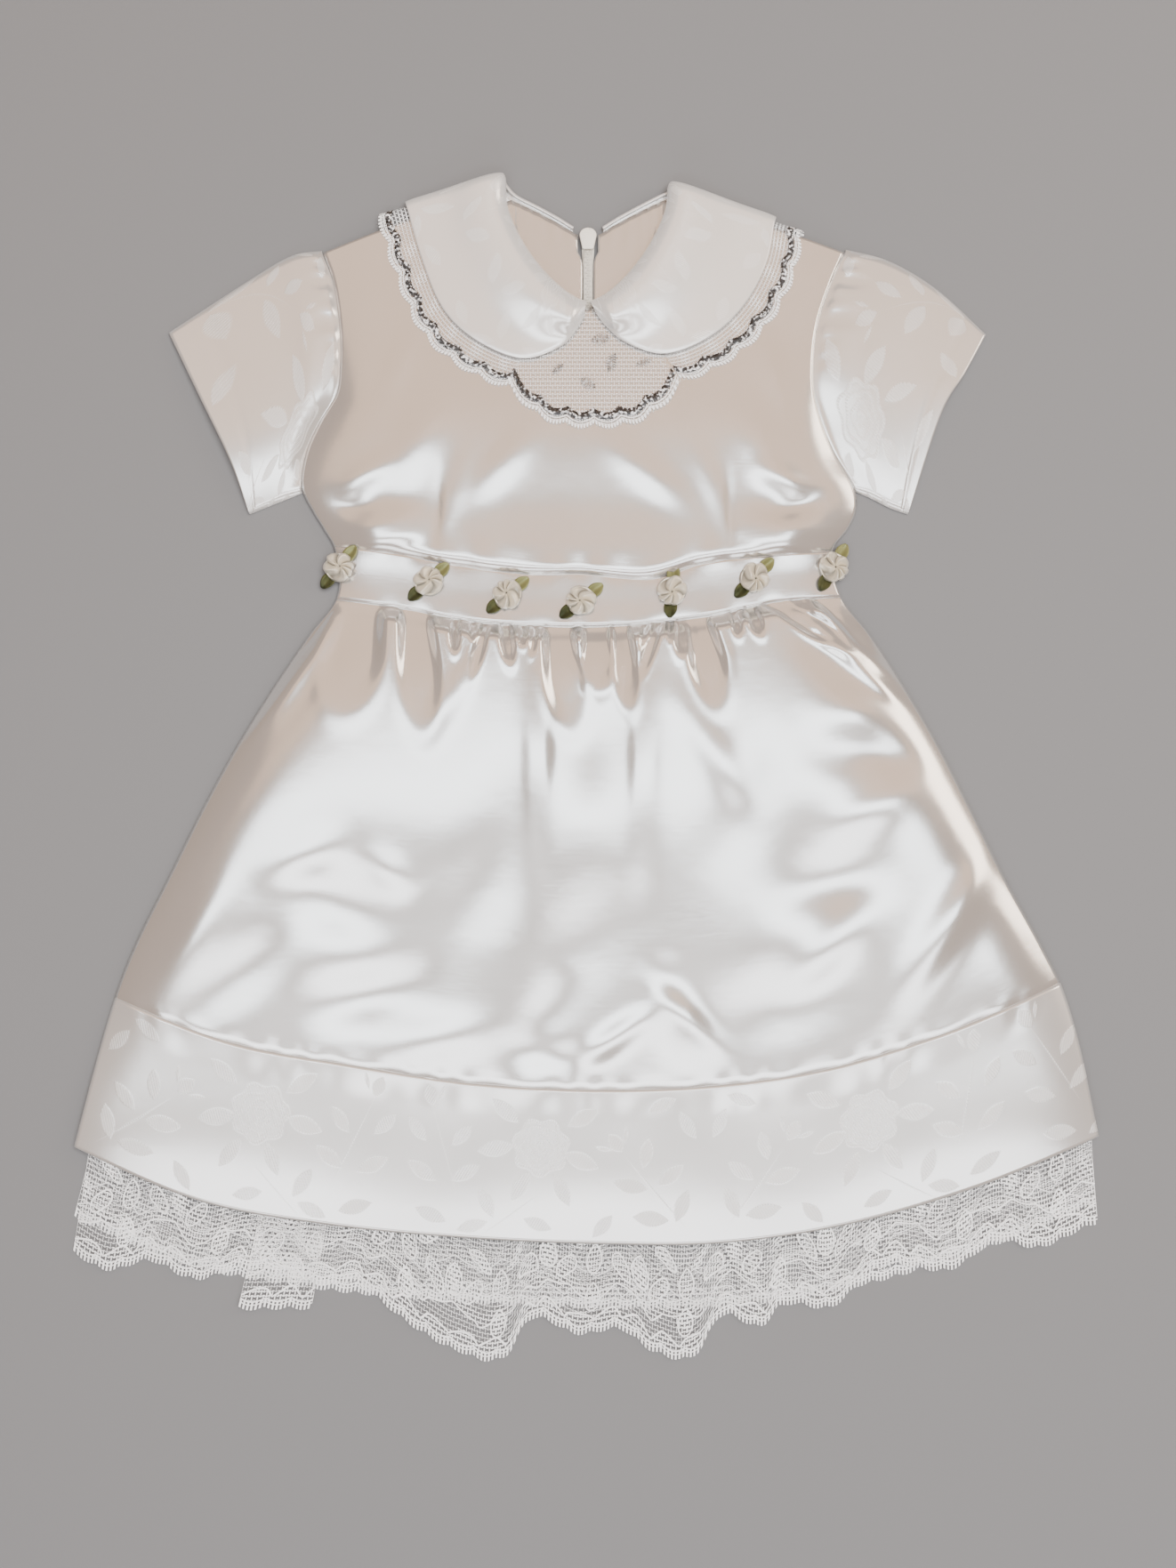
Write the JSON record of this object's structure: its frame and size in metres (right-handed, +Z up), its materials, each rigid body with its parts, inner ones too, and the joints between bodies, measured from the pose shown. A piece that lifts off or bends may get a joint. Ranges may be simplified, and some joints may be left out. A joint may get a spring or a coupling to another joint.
{
  "type": "christening gown",
  "caption": "Satin christening gown laid flat: round lace-edged collar, short gathered sleeves, rose-trimmed waistband, full gathered skirt with a jacquard band and lace hem.",
  "frame": {"origin": "on the surface under the middle of the laid gown's bounding box", "axes": "+Z up out of the front, +Y from hem to neck, +X to the right of someone looking down on the front"},
  "size_m": [0.479, 0.553, 0.0171],
  "materials": {
    "satin": "smooth white satin with a soft sheen",
    "jacquard": "white jacquard with tone-on-tone flower sprigs",
    "lace": "white net lace with denser motifs and a picot edge",
    "rose_ribbon": "cream satin ribbon",
    "leaf_ribbon": "olive green satin ribbon",
    "zip_coil": "off-white nylon coil and woven tape",
    "zip_metal": "off-white enamel over metal"
  },
  "bodies": {
    "gown": {"bodice_front": "satin", "waistband_front": "satin", "skirt_front": "satin", "bodice_back_left": "satin", "collar_left": "satin", "waistband_back_left": "satin", "skirt_back_left": "satin", "sleeve_left": "jacquard", "collar_lace_left": "lace", "bodice_back_right": "satin", "collar_right": "satin", "waistband_back_right": "satin", "skirt_back_right": "satin", "sleeve_right": "jacquard", "collar_lace_right": "lace", "hem_band_front": "jacquard", "hem_band_back": "jacquard", "lace_bib": "lace", "hem_lace_front": "lace", "hem_lace_back": "lace", "rosette_1": "rose_ribbon", "leaves_1": "leaf_ribbon", "rosette_2": "rose_ribbon", "leaves_2": "leaf_ribbon", "rosette_3": "rose_ribbon", "leaves_3": "leaf_ribbon", "rosette_4": "rose_ribbon", "leaves_4": "leaf_ribbon", "rosette_5": "rose_ribbon", "leaves_5": "leaf_ribbon", "rosette_6": "rose_ribbon", "leaves_6": "leaf_ribbon", "rosette_7": "rose_ribbon", "leaves_7": "leaf_ribbon", "zip_chain": "zip_coil", "zip_slider": "zip_metal"},
    "zip_pull": {"zip_pull": "zip_metal"}
  },
  "joints": [
    {"name": "pull_hinge", "type": "hinge", "parent": "gown", "child": "zip_pull", "pos_m": [0, 0.245, 0.00135], "axis": [1, 0, 0], "range_deg": [0, 150]}
  ]
}
